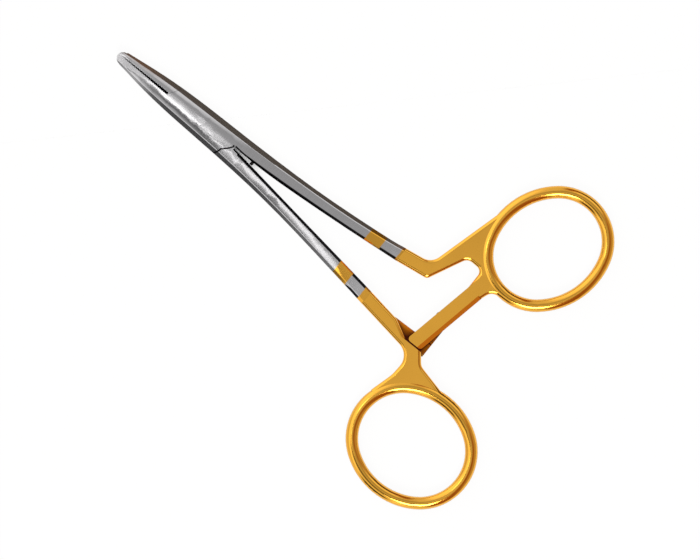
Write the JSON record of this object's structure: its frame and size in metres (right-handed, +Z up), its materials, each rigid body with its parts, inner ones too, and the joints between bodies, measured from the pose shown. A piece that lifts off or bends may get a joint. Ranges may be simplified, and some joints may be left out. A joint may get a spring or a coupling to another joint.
{
  "type": "ring-handled locking forceps",
  "caption": "Straight locking forceps with serrated jaws, a riveted box lock, a ratchet and two plated finger rings.",
  "frame": {"origin": "on the pivot axis, in the plane that the closed instrument rests on", "axes": "+X from the pivot to the jaw tips, +Y towards the male half's finger ring, +Z up out of the resting plane"},
  "size_m": [0.1267, 0.0859, 0.0038],
  "materials": {
    "plated_steel": "satin steel jaws and shanks, with gold plating on the handles and on a band of each shank",
    "pin_steel": "satin"
  },
  "bodies": {
    "female_side": {"female_half": "plated_steel", "box_lock_pin": "pin_steel", "stop_pin": "pin_steel"},
    "male_side": {"male_half": "plated_steel"}
  },
  "joints": [
    {"name": "box_lock_hinge", "type": "hinge", "parent": "female_side", "child": "male_side", "pos_m": [0, 0, 0], "axis": [0, 0, -1], "range_deg": [0, 35]}
  ]
}
